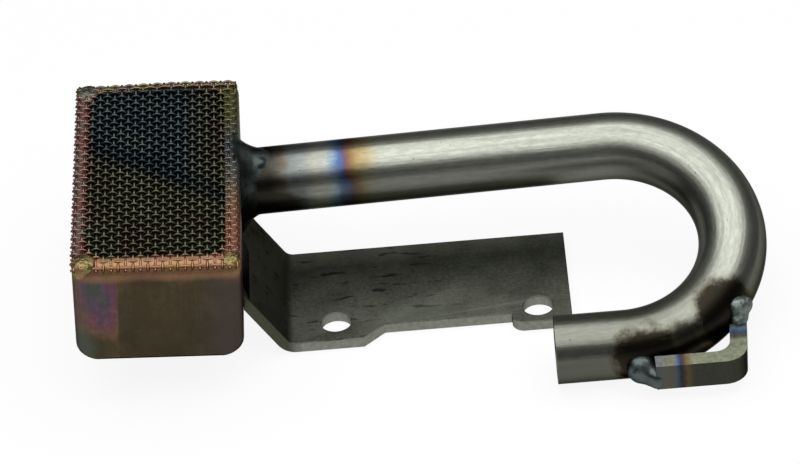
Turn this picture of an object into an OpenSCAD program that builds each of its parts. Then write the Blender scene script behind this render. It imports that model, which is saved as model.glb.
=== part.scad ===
// Oil pump pickup: a screened strainer box on a U-bent suction tube,
// with a bolt-on bracket and a lug for driving the tube into the pump.
// Sizes are in millimetres. The origin lies midway between the two bracket
// holes, on the bracket's mounting face. The screen faces up.

/* [Bolt holes] */
// Distance between the two bracket holes
hole_spacing = 57.15; // [50:0.05:64]
// Diameter of each bracket hole
hole_d = 8.73; // [6:0.01:10]

/* [Suction tube] */
// Outside diameter of the tube
tube_od = 19.05; // [16:0.05:20]
// Wall of the tube
tube_wall = 1.65; // [1:0.05:2.5]
// Bend radius at the tube's centreline
bend_r = 33.1; // [31:0.1:38]
// Angle between the plane of the bend and the bracket
bend_tilt = 20.8; // [17:0.1:24]
// Turn of the bend beyond half a circle, in degrees
overbend = 1.24; // [0:0.01:2]
// Straight stub that presses into the pump
stub_len = 19.1; // [15:0.1:24]
// Start of the bend, measured along the bolt line from the origin
bend_start = 51.05; // [48:0.05:58]
// Distance of the stub's axis in front of the bolt line
stub_setout = 29.3; // [27:0.1:36]
// Straight leg from the bend to the wall of the box
leg_len = 102.9; // [95:0.1:112]
// Length of the leg that stands inside the box
leg_inside = 4; // [2:0.5:8]
// Drawing-in of the wall, on each side, where the tube is bent
bend_draw = 0.03; // [0.02:0.01:0.2]

/* [Strainer box] */
// Width of the box, along the bolt line
box_w = 46.4; // [40:0.1:56]
// Depth of the box, front to back
box_d = 88.5; // [76:0.1:100]
// Height of the sheet box without its screen
box_h = 30.5; // [30:0.1:38]
// Thickness of the sheet
sheet = 1.2; // [0.8:0.1:2]
// Lean of the box about its front-to-back direction, in degrees
box_lean = 3.67; // [0:0.01:5]
// Distance of the tube's axis below the rim of the box
tube_drop = 12; // [11.8:0.1:13]
// Distance of the tube's axis behind the middle of the box
tube_offset = 11.9; // [6:0.1:16]
// Outside radius of the two long folds under the box
fold_r = 4.2; // [2.5:0.1:6]
// Radius of the four upright corners
corner_r = 3; // [2:0.1:5]
// Outside radius of the top edge at the front
front_edge_r = 4.2; // [2:0.1:4.5]
// Outside radius of the other three top edges
rim_edge_r = 1.5; // [1.4:0.1:2]
// Rise of the floor between the long folds
floor_rise = 0.5; // [0.2:0.1:1]
// Distance of the raised floor from each side of the box
floor_margin = 6.7; // [6.5:0.1:9]
// Width of the folded rim on the left
rim_left = 3.3; // [2.8:0.1:8]
// Width of the folded rim on the right
rim_right = 4.2; // [2.8:0.1:6]
// Width of the folded rim at the front
rim_front = 4.6; // [4.5:0.1:12]
// Width of the folded rim at the back
rim_back = 3.1; // [2.8:0.1:8]
// Corner radius of the opening in the rim
opening_r = 4; // [2:0.1:6]

/* [Screen] */
// Thickness of the pressed wire mat
mat_t = 0.9; // [0.6:0.1:1.4]
// Width of one strand
strand_w = 1.6; // [1:0.1:2]
// Height of a strand's crown above the mat
crown_h = 0.5; // [0.3:0.1:0.8]
// Width of a strand's crown
crown_w = 1.2; // [0.8:0.1:1.4]
// Length of a crown at its foot, as a share of the pitch
crown_foot = 0.84; // [0.7:0.01:0.9]
// Length of a crown at its top, as a share of the pitch
crown_top = 0.44; // [0.3:0.01:0.6]
// Gaps across the opening
gaps_across = 8; // [6:1:9]
// Gaps from front to back
gaps_deep = 15; // [11:1:15]
// Distance of the mat's edge inside the rounded edges of the box
mat_margin = 0.2; // [0:0.1:0.8]
// Turn of the mat over the front edge, in degrees
mat_wrap = 45; // [20:1:60]

/* [Bracket] */
// Thickness of the bracket plate
plate_t = 3.175; // [2:0.005:4]
// Distance of the back edge behind the bolt line
plate_back = 33.8; // [28:0.1:38]
// Distance of the left lobe's front edge from the bolt line
lobe_front = 8.5; // [7:0.1:11]
// Distance of the right lobe's front edge from the bolt line
lobe_front_right = 7.2; // [6.5:0.1:9]
// Distance of the recessed edge from the bolt line
recess_front = 2.9; // [1:0.1:5]
// Metal beyond each hole's centre towards the recess
lobe_side = 7.6; // [6.5:0.1:10]
// Run of the sloping edge between the left lobe and the recess
lobe_slope = 6; // [3:0.1:9]
// Corner radius of the right lobe
lobe_r = 3.5; // [1:0.1:4]
// Metal beyond the right hole at the end of the bracket
plate_end = 9.35; // [8:0.05:11]
// Angle of the welded flange to the plate
flange_angle = 58; // [52:0.5:59]
// Inside radius of the flange's bend
flange_r = 3; // [2:0.1:5]
// Run of the flange from its fold line to the box wall
flange_run = 11.6; // [9:0.1:12]

/* [Drive lug] */
// Thickness of the lug's bar
lug_t = 4.76; // [3:0.01:6]
// Height of the lug's bar
lug_h = 7.94; // [6:0.01:10]
// Height of the lug's lower edge above the mounting face
lug_lift = 4.1; // [2:0.1:6]
// Start of the lug after the start of the bend
lug_start = 7.6; // [5:0.1:10]
// Reach of the lug's struck face from the start of the bend
lug_reach = 33.2; // [30:0.1:34]
// Inside radius of the lug's bend
lug_bend_r = 1.8; // [1:0.1:3]
// Splay of the short arm away from square, in degrees
lug_splay = 5; // [0:0.5:8]
// Length of the short arm's end that wraps below the tube
lug_bite = 3.5; // [2:0.1:5]
// Gap between the lug's long arm and the stub
lug_gap = 0.15; // [0.05:0.05:0.5]

/* [Welds] */
// Run of the bead along the tube at the box
bead_run = 6; // [4:0.1:7]
// Height of the bead up the wall of the box
bead_height = 3.2; // [2:0.1:4]
// Turn of the bead's hollow face, in degrees
bead_turn = 50; // [20:1:70]
// Leg of the bead along the flange
flange_bead = 3; // [2:0.1:4]
// Radius of the weld drop between the stub and the lug
stub_drop_r = 4.5; // [4:0.1:4.7]
// Radius of the weld drop on the end of the lug's short arm
bend_drop_r = 4.2; // [3.8:0.1:5]
// Distance of the stub's weld drop before the end of the lug
drop_lead = 2.2; // [1.5:0.1:2.5]
// Distance of the stub's weld drop below the lug's upper edge
drop_sink = 4; // [2:0.1:5]
// Height of the bend's weld drop above the lug's upper edge
drop_rise = 2.4; // [0:0.1:3]
// Gap round the tube where it passes through the wall
pass_gap = 0.1; // [0.05:0.05:0.3]

/* [Hidden] */
$fn = 96;
arc_steps = 12;
past = 1;
// Length over which the bend runs into each straight
bend_lap = 0.5;
// Distance of the bend's weld drop inwards from the tube's outer line
drop_in = 1;

tube_r = tube_od / 2;
bore_r = tube_r - tube_wall;
hole_x = hole_spacing / 2;

// The stub lies on the plane of the mounting face.
stub_axis = [bend_start, -stub_setout, tube_r];
bend_mid_y = stub_axis.y + bend_r * cos(bend_tilt);

// End of the bend, first in the plane of the bend, then in space.
bend_end_u = -bend_r * sin(overbend);
bend_end_v = bend_r * (1 + cos(overbend));
wall_u = bend_end_u - leg_len * cos(overbend);
wall_v = bend_end_v - leg_len * sin(overbend);
wall_point = stub_axis + [wall_u, wall_v * cos(bend_tilt), wall_v * sin(bend_tilt)];

// The box wall leans with the box, so its place depends on the height.
function wall_x(z) = wall_point.x + (z - wall_point.z) * tan(box_lean);
// Height at which the flange's upper face, rising from its fold line, meets the wall.
flange_top = plate_t + flange_run * tan(flange_angle);
fold_x = wall_x(flange_top) + flange_run;
fold_run = flange_r * tan(flange_angle / 2);
flat_start = fold_x + fold_run;
flange_len = flange_run / cos(flange_angle) + plate_t;

// The opening in the rim, in the frame of the box.
opening_w = box_w - rim_left - rim_right;
opening_d = box_d - rim_front - rim_back;
opening_x = (rim_left - rim_right) / 2;
opening_y = (rim_front - rim_back) / 2;
pitch_x = opening_w / gaps_across;
pitch_y = opening_d / gaps_deep;

lug_back = stub_axis.y - tube_r - lug_gap;
lug_x = stub_axis.x + lug_start;
lug_face = stub_axis.x + lug_reach;
lug_corner = lug_bend_r + lug_t;
// Where the short arm meets the outside of the bend.
lug_meet = asin((lug_reach - lug_t / 2) / (bend_r + tube_r));
lug_meet_y = bend_mid_y - (bend_r + tube_r) * cos(lug_meet) * cos(bend_tilt);
lug_arm = (lug_meet_y + lug_bite - lug_back - lug_bend_r) / cos(lug_splay);
lug_top = lug_lift + lug_h;

// Middles of the two weld drops on the lug.
stub_drop = [lug_x - drop_lead, lug_back, lug_top - drop_sink];
bend_drop = [lug_face - lug_t / 2 + lug_arm * sin(lug_splay), lug_meet_y + drop_in, lug_top + drop_rise];

plating = [0.42, 0.36, 0.26];
wire_grey = [0.30, 0.30, 0.27];
bare_steel = [0.55, 0.55, 0.51];
mill_scale = [0.30, 0.30, 0.27];
bead_grey = [0.42, 0.46, 0.47];

function arc(centre, radius, from, to) =
    [for (i = [0:arc_steps]) centre + radius * [cos(from + (to - from) * i / arc_steps),
                                                sin(from + (to - from) * i / arc_steps)]];

// A plan rectangle with four round corners, centred on the origin.
module rounded_plan(w, d, r) {
    polygon(concat(
        arc([w / 2 - r, d / 2 - r], r, 0, 90),
        arc([r - w / 2, d / 2 - r], r, 90, 180),
        arc([r - w / 2, r - d / 2], r, 180, 270),
        arc([w / 2 - r, r - d / 2], r, 270, 360)));
}

// A front view with two round lower and two round upper corners, standing on zero.
module channel_front(w, h, low_r, top_r) {
    polygon(concat(
        arc([w / 2 - top_r, h - top_r], top_r, 0, 90),
        arc([top_r - w / 2, h - top_r], top_r, 90, 180),
        arc([low_r - w / 2, low_r], low_r, 180, 270),
        arc([w / 2 - low_r, low_r], low_r, 270, 360)));
}

// A side view with the front to the left and two round upper corners, standing on zero.
module channel_side(d, h, front_r, back_r) {
    polygon(concat(
        [[-d / 2, 0], [d / 2, 0]],
        arc([d / 2 - back_r, h - back_r], back_r, 0, 90),
        arc([front_r - d / 2, h - front_r], front_r, 90, 180)));
}

// Turns a side view, drawn with the front to the left, into a bar across the box.
module across(w) {
    rotate([90, 0, 90]) linear_extrude(w, center = true) children();
}

// Puts a shape drawn about the box's own floor in its place on the tube.
module in_box_place() {
    translate(wall_point)
        rotate([0, box_lean, 0])
            translate([-box_w / 2, -tube_offset, tube_drop - box_h])
                children();
}

// Puts a shape drawn in the plane of the bend in its place, from the start of the bend.
module in_bend_place() {
    translate(stub_axis) rotate([bend_tilt, 0, 0]) children();
}

// Puts a shape drawn upwards from zero along the leg, from the end of the bend to the box.
module in_leg_place() {
    in_bend_place()
        translate([0, bend_r, 0])
            rotate([0, 0, overbend])
                translate([0, bend_r, 0])
                    rotate([0, -90, 0])
                        children();
}

// The box as a full block, drawn in from its outside by the thickness of a sheet.
module box_block(inset = 0) {
    w = box_w - 2 * inset;
    d = box_d - 2 * inset;
    h = box_h - 2 * inset;
    translate([0, 0, inset]) intersection() {
        rotate([90, 0, 0])
            linear_extrude(d, center = true) channel_front(w, h, fold_r - inset, rim_edge_r - inset);
        across(w) channel_side(d, h, front_edge_r - inset, rim_edge_r - inset);
        linear_extrude(h) rounded_plan(w, d, corner_r - inset);
    }
}

// The straight leg as a rod, from the bend to a given length.
module leg_rod(radius, length) {
    in_leg_place() cylinder(r = radius, h = length);
}

// The bend alone, swept from any section drawn about the tube's centreline.
module bend_sweep() {
    in_bend_place()
        translate([0, bend_r, 0])
            rotate([0, 0, -90])
                rotate_extrude(angle = 180 + overbend)
                    translate([bend_r, 0]) children();
}

module tube_section(draw = 0) {
    difference() {
        circle(r = tube_r - draw);
        circle(r = bore_r + draw);
    }
}

// The stub and the bend as one rod, for trimming what is welded to them.
module stub_and_bend() {
    bend_sweep() circle(r = tube_r - bend_draw);
    in_bend_place()
        translate([bend_lap, 0, 0])
            rotate([0, -90, 0]) cylinder(r = tube_r, h = stub_len + bend_lap);
}

// Everything left of the box's right wall, for trimming what is welded to it.
module behind_wall() {
    reach = box_d;
    translate(wall_point)
        rotate([0, box_lean, 0])
            translate([-reach, -reach, -reach])
                cube([reach, 2 * reach, 2 * reach]);
}

// Everything above the rim of the box, for trimming the bead round the tube.
module above_rim() {
    in_box_place()
        translate([-box_w, -box_d / 2, box_h])
            cube([2 * box_w, box_d, tube_od]);
}

module strainer_box() {
    color(plating) difference() {
        in_box_place() difference() {
            box_block();
            difference() {
                box_block(sheet);
                translate([0, 0, sheet + floor_rise - box_h])
                    linear_extrude(box_h) square([box_w, box_d], center = true);
            }
            translate([opening_x, opening_y, box_h - sheet - past])
                linear_extrude(sheet + 2 * past) rounded_plan(opening_w, opening_d, opening_r);
            rotate([90, 0, 0])
                linear_extrude(box_d + 2 * past, center = true) floor_hollow();
        }
        leg_rod(tube_r + pass_gap, leg_len + leg_inside + 2 * sheet);
    }
}

// The shallow hollow that the two folds leave under the floor.
module floor_hollow() {
    half = box_w / 2 - floor_margin;
    polygon([[-half - fold_r, -past], [-half, floor_rise], [half, floor_rise], [half + fold_r, -past]]);
}

module screen() {
    color(wire_grey) in_box_place() {
        difference() {
            across(box_w - 2 * (rim_edge_r + mat_margin)) mat_side();
            for (i = [0:gaps_across - 1], j = [0:gaps_deep - 1])
                translate([opening_x + (i - (gaps_across - 1) / 2) * pitch_x,
                           opening_y + (j - (gaps_deep - 1) / 2) * pitch_y, box_h - past])
                    linear_extrude(mat_t + 2 * past)
                        square([pitch_x - strand_w, pitch_y - strand_w], center = true);
        }
        for (i = [1:gaps_across - 1], j = [1:gaps_deep - 1])
            translate([opening_x + (i - gaps_across / 2) * pitch_x,
                       opening_y + (j - gaps_deep / 2) * pitch_y, box_h + mat_t])
                if ((i + j) % 2 == 0) crown(pitch_x);
                else rotate([0, 0, 90]) crown(pitch_y);
    }
}

// Side view of the mat: flat over the opening, and turned down over the front edge.
module mat_side() {
    centre = [front_edge_r - box_d / 2, box_h - front_edge_r];
    back = box_d / 2 - rim_edge_r - mat_margin;
    polygon(concat(
        [[back, box_h], [back, box_h + mat_t]],
        arc(centre, front_edge_r + mat_t, 90, 90 + mat_wrap),
        arc(centre, front_edge_r, 90 + mat_wrap, 90)));
}

// The top of one strand where it passes over the crossing one.
module crown(span) {
    foot = span * crown_foot / 2;
    top = span * crown_top / 2;
    rotate([90, 0, 0])
        linear_extrude(crown_w, center = true)
            polygon([[-foot, 0], [foot, 0], [top, crown_h], [-top, crown_h]]);
}

module pickup_tube() {
    color(bare_steel) {
        in_bend_place()
            translate([bend_lap, 0, 0])
                rotate([0, -90, 0]) linear_extrude(stub_len + bend_lap) tube_section();
        bend_sweep() tube_section(bend_draw);
        in_leg_place()
            translate([0, 0, -bend_lap])
                linear_extrude(bend_lap + leg_len + sheet + leg_inside) tube_section();
    }
}

// Plan of the flat plate: two lobes round the holes with a recess between them.
module plate_plan() {
    right = hole_x + plate_end;
    recess_left = lobe_side + lobe_slope - hole_x;
    recess_right = hole_x - lobe_side;
    polygon(concat(
        [[flat_start, plate_back], [flat_start, -lobe_front]],
        [[lobe_side - hole_x, -lobe_front], [recess_left, -recess_front], [recess_right, -recess_front]],
        arc([recess_right + lobe_r, lobe_r - lobe_front_right], lobe_r, 180, 270),
        [[right, -lobe_front_right], [right, plate_back]]));
}

// Side view of the flange: the bend up from the plate, then a slope that runs past the wall.
module flange_side() {
    centre = [flat_start, plate_t + flange_r];
    slope = flange_len * [-cos(flange_angle), sin(flange_angle)];
    under = arc(centre, flange_r + plate_t, 270, 270 - flange_angle);
    over = arc(centre, flange_r, 270 - flange_angle, 270);
    polygon(concat(under, [under[arc_steps] + slope, over[0] + slope], over));
}

module flange_bend() {
    translate([0, plate_back, 0])
        rotate([90, 0, 0])
            linear_extrude(plate_back + lobe_front) flange_side();
}

module mounting_bracket() {
    color(mill_scale) difference() {
        union() {
            linear_extrude(plate_t) plate_plan();
            flange_bend();
        }
        behind_wall();
        for (x = [-hole_x, hole_x])
            translate([x, 0, -past]) cylinder(d = hole_d, h = plate_t + 2 * past);
    }
}

// Plan of the lug's bar: a long arm beside the stub, a round bend and a short arm back to the tube.
module lug_plan() {
    centre = [lug_face - lug_corner, lug_back + lug_bend_r];
    short_arm = lug_arm * [sin(lug_splay), cos(lug_splay)];
    outside = arc(centre, lug_corner, 270, 360 - lug_splay);
    inside = arc(centre, lug_bend_r, 360 - lug_splay, 270);
    polygon(concat(
        [[lug_x, lug_back], [lug_x, lug_back - lug_t]],
        outside,
        [outside[arc_steps] + short_arm, inside[0] + short_arm],
        inside));
}

module lug_bar() {
    translate([0, 0, lug_lift]) linear_extrude(lug_h) lug_plan();
}

module drive_lug() {
    color(mill_scale) difference() {
        lug_bar();
        stub_and_bend();
    }
}

module tube_weld() {
    color(bead_grey) difference() {
        in_leg_place()
            translate([0, 0, leg_len - bead_run])
                rotate_extrude() bead_section();
        in_box_place() box_block();
        above_rim();
        flange_bend();
    }
}

// Half of the bead's section, from the tube's skin outwards: a hollow face from the tube to the wall.
module bead_section() {
    face = [bead_height, bead_run];
    length = bead_run + past;
    hollow_r = norm(face) / (2 * sin(bead_turn / 2));
    away = [bead_run, -bead_height] / norm(face);
    centre = face / 2 + away * hollow_r * cos(bead_turn / 2);
    start = atan2(-centre.y, -centre.x);
    translate([tube_r, 0])
        polygon(concat([[0, length]], arc(centre, hollow_r, start, start - bead_turn), [[bead_height, length]]));
}

module bracket_weld() {
    corner = [wall_x(flange_top), flange_top];
    up = [sin(box_lean), cos(box_lean)];
    along = [cos(flange_angle), -sin(flange_angle)];
    length = plate_back + lobe_front - tube_od;
    color(bead_grey)
        translate([0, length - lobe_front, 0])
            rotate([90, 0, 0])
                linear_extrude(length)
                    polygon([corner, corner + flange_bead * along, corner + flange_bead * up]);
}

// A drop of weld metal, with its poles to the front and the back.
module weld_drop(radius) {
    rotate([90, 0, 0]) sphere(r = radius);
}

module lug_weld_stub() {
    color(bead_grey) difference() {
        translate(stub_drop) weld_drop(stub_drop_r);
        stub_and_bend();
        lug_bar();
    }
}

module lug_weld_bend() {
    color(bead_grey) difference() {
        translate(bend_drop) weld_drop(bend_drop_r);
        stub_and_bend();
        lug_bar();
    }
}

strainer_box();
screen();
pickup_tube();
mounting_bracket();
drive_lug();
tube_weld();
bracket_weld();
lug_weld_stub();
lug_weld_bend();
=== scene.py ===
# %% [markdown]
# # Dressing a welded oil pickup
# The solids of this part come ready made: a strainer box with a screen, a bent tube,
# a bracket, a bar lug and their welds. This lesson gives each of them the surface that
# the real thing has. Every step says what the piece is, how it could be made in
# Blender, and why one way was chosen.

# %% Load the solids
import math
import random

import bmesh
import bpy
from mathutils import Matrix, Vector


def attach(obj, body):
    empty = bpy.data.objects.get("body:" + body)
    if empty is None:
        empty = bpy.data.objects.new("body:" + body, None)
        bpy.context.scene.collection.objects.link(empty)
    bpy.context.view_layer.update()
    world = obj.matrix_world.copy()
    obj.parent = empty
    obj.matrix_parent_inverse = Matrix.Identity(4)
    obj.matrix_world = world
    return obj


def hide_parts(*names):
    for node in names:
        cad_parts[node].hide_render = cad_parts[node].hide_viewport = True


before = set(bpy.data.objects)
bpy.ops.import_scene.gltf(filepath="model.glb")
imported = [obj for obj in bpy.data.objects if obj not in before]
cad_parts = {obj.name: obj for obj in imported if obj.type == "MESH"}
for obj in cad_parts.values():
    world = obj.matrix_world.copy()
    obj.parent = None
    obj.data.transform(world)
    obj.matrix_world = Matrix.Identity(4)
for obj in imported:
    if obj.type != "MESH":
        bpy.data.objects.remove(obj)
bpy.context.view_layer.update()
random.seed(19)


# %% [markdown]
# ## The camera
# The picture was taken from about 36 degrees above the table, from far away, with the
# part turned a few degrees in the frame. A long lens far off gives the same nearly
# parallel lines. The turns stand in the order in which a photographer makes them: walk
# round the part, tip down from the vertical, then roll about the lens.

# %% Set up the camera
MM = 0.001
view_height = math.radians(36.175)
walk = math.radians(0.973)
roll = math.radians(-5.269)
stand_off = Vector((-10.696, 25.568, 1271.763))  # right, up and back, in millimetres
turn = (Matrix.Rotation(walk, 3, "Z")
        @ Matrix.Rotation(math.radians(90) - view_height, 3, "X")
        @ Matrix.Rotation(roll, 3, "Z"))
lens = bpy.data.cameras.new("camera")
lens.sensor_width = 36
lens.lens = 202.5
lens.clip_start, lens.clip_end = 0.05, 20
camera = bpy.data.objects.new("camera", lens)
camera.matrix_world = Matrix.Translation(turn @ stand_off * MM) @ turn.to_4x4()
bpy.context.scene.collection.objects.link(camera)
bpy.context.scene.camera = camera
print("camera stands at", [round(c, 3) for c in camera.location])

# %% [markdown]
# ## Node helpers
# A material is a tree of small nodes. Written out one by one they fill pages, so a few
# helpers add a node, link or fill its inputs by name, and do sums with Math nodes. A
# socket knows the tree that it belongs to, so most helpers needn't be told it.

# %% Define the node helpers
def joined(tree, kind, **values):
    """Adds a node, sets its properties, and links or fills the inputs that are named."""
    node = tree.nodes.new(kind)
    for name, value in values.items():
        if hasattr(node, name):
            setattr(node, name, value)
            continue
        key = int(name[3:]) if name.startswith("in_") else name.replace("_", " ")
        if isinstance(value, bpy.types.NodeSocket):
            tree.links.new(value, node.inputs[key])
        else:
            node.inputs[key].default_value = value
    return node


def empty_material(name):
    made = bpy.data.materials.new(name)
    made.use_nodes = True
    made.node_tree.nodes.clear()
    return made, made.node_tree


def tree_of(*values):
    """The tree of the first socket among some values."""
    return next(v.id_data for v in values if isinstance(v, bpy.types.NodeSocket))


def sums(operation, a, b=0.0):
    return joined(tree_of(a, b), "ShaderNodeMath", operation=operation, in_0=a,
                  in_1=b).outputs[0]


def plus(a, b):
    return sums("ADD", a, b)


def minus(a, b):
    return sums("SUBTRACT", a, b)


def times(a, b):
    return sums("MULTIPLY", a, b)


print("node helpers ready")

# %% [markdown]
# ## Floor
# The part lies on plain white paper. A lit sheet would turn grey where the lamp falls
# off, so the floor glows white for the camera and for reflections, and a small share of
# it stays matt and takes the shadow.

# %% Lay the floor
bpy.context.scene.view_settings.view_transform = "Standard"
WHITE_SHARE, PAPER_GREY = 0.9, (0.9, 0.9, 0.9, 1)
floor_size, floor_drop = 3.0, 0.0002
paper, tree = empty_material("paper_floor")
rays = joined(tree, "ShaderNodeLightPath").outputs
seen = sums("MAXIMUM", rays["Is Camera Ray"], rays["Is Glossy Ray"])
seen = sums("MAXIMUM", seen, rays["Is Transmission Ray"])
matt = joined(tree, "ShaderNodeBsdfDiffuse", Color=PAPER_GREY)
white = joined(tree, "ShaderNodeEmission", Color=(1, 1, 1, 1))
mixed = joined(tree, "ShaderNodeMixShader", in_0=times(seen, WHITE_SHARE),
               in_1=matt.outputs[0], in_2=white.outputs[0])
joined(tree, "ShaderNodeOutputMaterial", Surface=mixed.outputs[0])

bm = bmesh.new()
bmesh.ops.create_grid(bm, x_segments=2, y_segments=2, size=floor_size)
bmesh.ops.translate(bm, vec=(0, 0, -floor_drop), verts=bm.verts)
sheet = bpy.data.meshes.new("paper_floor")
bm.to_mesh(sheet)
bm.free()
sheet.materials.append(paper)
floor = bpy.data.objects.new("paper_floor", sheet)
bpy.context.scene.collection.objects.link(floor)
print("floor laid,", WHITE_SHARE, "of it glows")

# %% [markdown]
# ## Light
# Round steel shows its surroundings as stripes. The tube has one bright band on its
# upper third, a dark band under it and a dim band low down. Several small lamps would
# give it several thin lines. One large soft lamp overhead makes the one broad band, a
# dim room keeps the rest dark, and the pale floor makes the low band.

# %% Hang the lamp
ROOM_GREY = (0.10, 0.10, 0.10, 1)
room = bpy.data.worlds.new("dim_room")
room.use_nodes = True
room.node_tree.nodes["Background"].inputs["Color"].default_value = ROOM_GREY
bpy.context.scene.world = room

lamp_place, lamp_aim = Vector((0.0, -0.12, 0.95)), Vector((0.0, -0.12, 0))
shade = bpy.data.lights.new("overhead", "AREA")
shade.shape = "RECTANGLE"
shade.size, shade.size_y, shade.energy = 1.55, 1.36, 15.9
lamp = bpy.data.objects.new("overhead", shade)
lamp.location = lamp_place
lamp.rotation_euler = (lamp_aim - lamp_place).to_track_quat("-Z", "Y").to_euler()
bpy.context.scene.collection.objects.link(lamp)
print("one lamp hung")

# %% [markdown]
# ## Helpers for finishes
# A finish on metal is mostly a map of small changes: where it is tinted, scratched or
# rough. Each map starts from a position on the piece. These helpers name the nodes by
# what they do: a noise, a swing about zero, a soft step, a ramp and a mix of colours.

# %% Define the finish helpers
def noise(vector, scale, detail=3.0, roughness=0.5):
    return joined(vector.id_data, "ShaderNodeTexNoise", Vector=vector, Scale=scale,
                  Detail=detail, Roughness=roughness).outputs["Fac"]


def swing(vector, size, scale, detail=3.0, roughness=0.5):
    """A noise that swings about zero, by up to half of size."""
    return times(minus(noise(vector, scale, detail, roughness), 0.5), size)


def step(value, low, high, start=0.0, end=1.0):
    """Goes softly from start to end while value goes from low to high."""
    return joined(value.id_data, "ShaderNodeMapRange", interpolation_type="SMOOTHSTEP",
                  in_0=value, in_1=low, in_2=high, in_3=start, in_4=end).outputs[0]


def place_of(tree):
    return joined(tree, "ShaderNodeTexCoord").outputs["Object"]


def split(vector):
    """The x, y and z of a vector."""
    return joined(vector.id_data, "ShaderNodeSeparateXYZ", Vector=vector).outputs


def stretched(vector, scale):
    return joined(vector.id_data, "ShaderNodeMapping", Vector=vector, Scale=scale).outputs[0]


def ramp(value, stops):
    """Colours along a value: stops are (place from 0 to 1, linear colour)."""
    node = joined(value.id_data, "ShaderNodeValToRGB", in_0=value)
    while len(node.color_ramp.elements) < len(stops):
        node.color_ramp.elements.new(1.0)
    for element, (place, colour) in zip(node.color_ramp.elements, stops):
        element.position = place
        element.color = (*colour, 1)
    return node.outputs["Color"]


def blend(factor, a, b, how="MIX"):
    tree = tree_of(factor, a, b)
    node = joined(tree, "ShaderNodeMix", data_type="RGBA", blend_type=how)
    for socket, value in ((node.inputs[0], factor), (node.inputs[6], a), (node.inputs[7], b)):
        if isinstance(value, bpy.types.NodeSocket):
            tree.links.new(value, socket)
        else:
            socket.default_value = value if isinstance(value, float) else (*value, 1)
    return node.outputs[2]


# Painted shade: this specular tint darkens every metal's reflections towards its grazing edges.
EDGE_SHADE_TINT = (0.3, 0.3, 0.3, 1)


def metal(colour, roughness, height, depth, metallic=1.0):
    """Ends a finish with a metal whose reflections are darkened at grazing edges as painted
    shade, and with a small relief.
    """
    tree = colour.id_data
    surface = joined(tree, "ShaderNodeBsdfPrincipled", Metallic=metallic, Base_Color=colour,
                     Roughness=roughness, Specular_Tint=EDGE_SHADE_TINT)
    bump = joined(tree, "ShaderNodeBump", Distance=depth, Height=height)
    tree.links.new(bump.outputs["Normal"], surface.inputs["Normal"])
    joined(tree, "ShaderNodeOutputMaterial", Surface=surface.outputs[0])


print("finish helpers ready")

# %% [markdown]
# ## Handing a piece over
# Each finished mesh goes through the same door: its faces are shaded smooth except at
# real edges, it rides on the part, and the solid that it stands for is hidden. One function
# does this for all pieces, so that none forgets a step.

# %% Define the hand-over
def hand_over(name, bm, finishes, stands_for=(), sharp=40):
    mesh = bpy.data.meshes.new(name)
    for face in bm.faces:
        face.smooth = True
    bm.to_mesh(mesh)
    bm.free()
    mesh.set_sharp_from_angle(angle=math.radians(sharp))
    for finish in finishes:
        mesh.materials.append(finish)
    piece = bpy.data.objects.new(name, mesh)
    bpy.context.scene.collection.objects.link(piece)
    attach(piece, "root")
    if stands_for:
        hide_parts(*stands_for)
    triangles = sum(len(p.vertices) - 2 for p in mesh.polygons)
    print(f"{name}: {len(mesh.vertices)} points, {triangles} triangles")


print("hand-over ready")

# %% [markdown]
# ## Where the box and the bend lie
# The box hangs on the end of the tube and leans with it, and the bend lies in a tilted
# plane. Both pieces are easier to draw in their own upright frame, in millimetres, and
# to put in place at the end with one matrix.

# %% Place the box and the bend
tube_r, tube_wall, bend_r = 9.525, 1.65, 33.1
bend_tilt, overbend = math.radians(20.8), math.radians(1.24)
bend_start = Vector((51.05, -29.3, tube_r))
stub_len, leg_len, leg_inside, sweep = 19.1, 102.9, 5.2, math.pi + overbend
box_w, box_d, box_h = 46.4, 88.5, 30.5
half_w, half_d = box_w / 2, box_d / 2
tube_offset, tube_height, lean = 11.9, 18.5, math.radians(3.67)
bend_place = (Matrix.Scale(MM, 4) @ Matrix.Translation(bend_start)
              @ Matrix.Rotation(bend_tilt, 4, "X"))
leg_way = Vector((-math.cos(overbend), -math.sin(overbend), 0))
bend_end = Vector((-bend_r * math.sin(overbend), bend_r * (1 + math.cos(overbend)), 0))
wall_point = (bend_place @ (bend_end + leg_way * leg_len)) / MM
box_place = (Matrix.Scale(MM, 4) @ Matrix.Translation(wall_point) @ Matrix.Rotation(lean, 4, "Y")
             @ Matrix.Translation((-half_w, -tube_offset, -tube_height)))
print("the tube meets the wall at", [round(c, 2) for c in wall_point], "mm")

# %% [markdown]
# ## Places on the box
# The plating changes from side to side and towards the opening, so its nodes need to
# know where on the box a point lies. Object coordinates are those of the whole part. A
# Mapping node takes them back to the upright frame of the box, in millimetres, and a few
# Math nodes work out how far a point lies outside the dark middle of the cloth.

# %% Find places on the box
opening = {"x0": -half_w + 3.3, "x1": half_w - 4.2, "y0": -half_d + 4.6, "y1": half_d - 3.1}


def in_box(tree):
    """The place in the frame of the box, in millimetres, and its x, y and z."""
    back = (Matrix.Translation((half_w, tube_offset, tube_height))
            @ Matrix.Rotation(-lean, 4, "Y") @ Matrix.Translation(-wall_point))
    moved = joined(tree, "ShaderNodeMapping", Vector=place_of(tree), Scale=(1000, 1000, 1000),
                   Location=back.to_translation(), Rotation=back.to_euler()).outputs[0]
    return moved, split(moved)


def past_mouth(x, y, round_r, left_shift=1.0):
    """Distance of a place outside the dark middle of the cloth, which has round corners."""
    outside = []
    for value, low, high in ((x, opening["x0"] + left_shift, opening["x1"]),
                             (y, opening["y0"], opening["y1"])):
        off = sums("ABSOLUTE", minus(value, (low + high) / 2))
        over = minus(off, (high - low) / 2 - round_r)
        outside.append(sums("POWER", sums("MAXIMUM", over, 0.0), 2.0))
    return minus(sums("SQRT", plus(*outside)), round_r)


print("opening:", {side: round(at, 2) for side, at in opening.items()})

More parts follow.
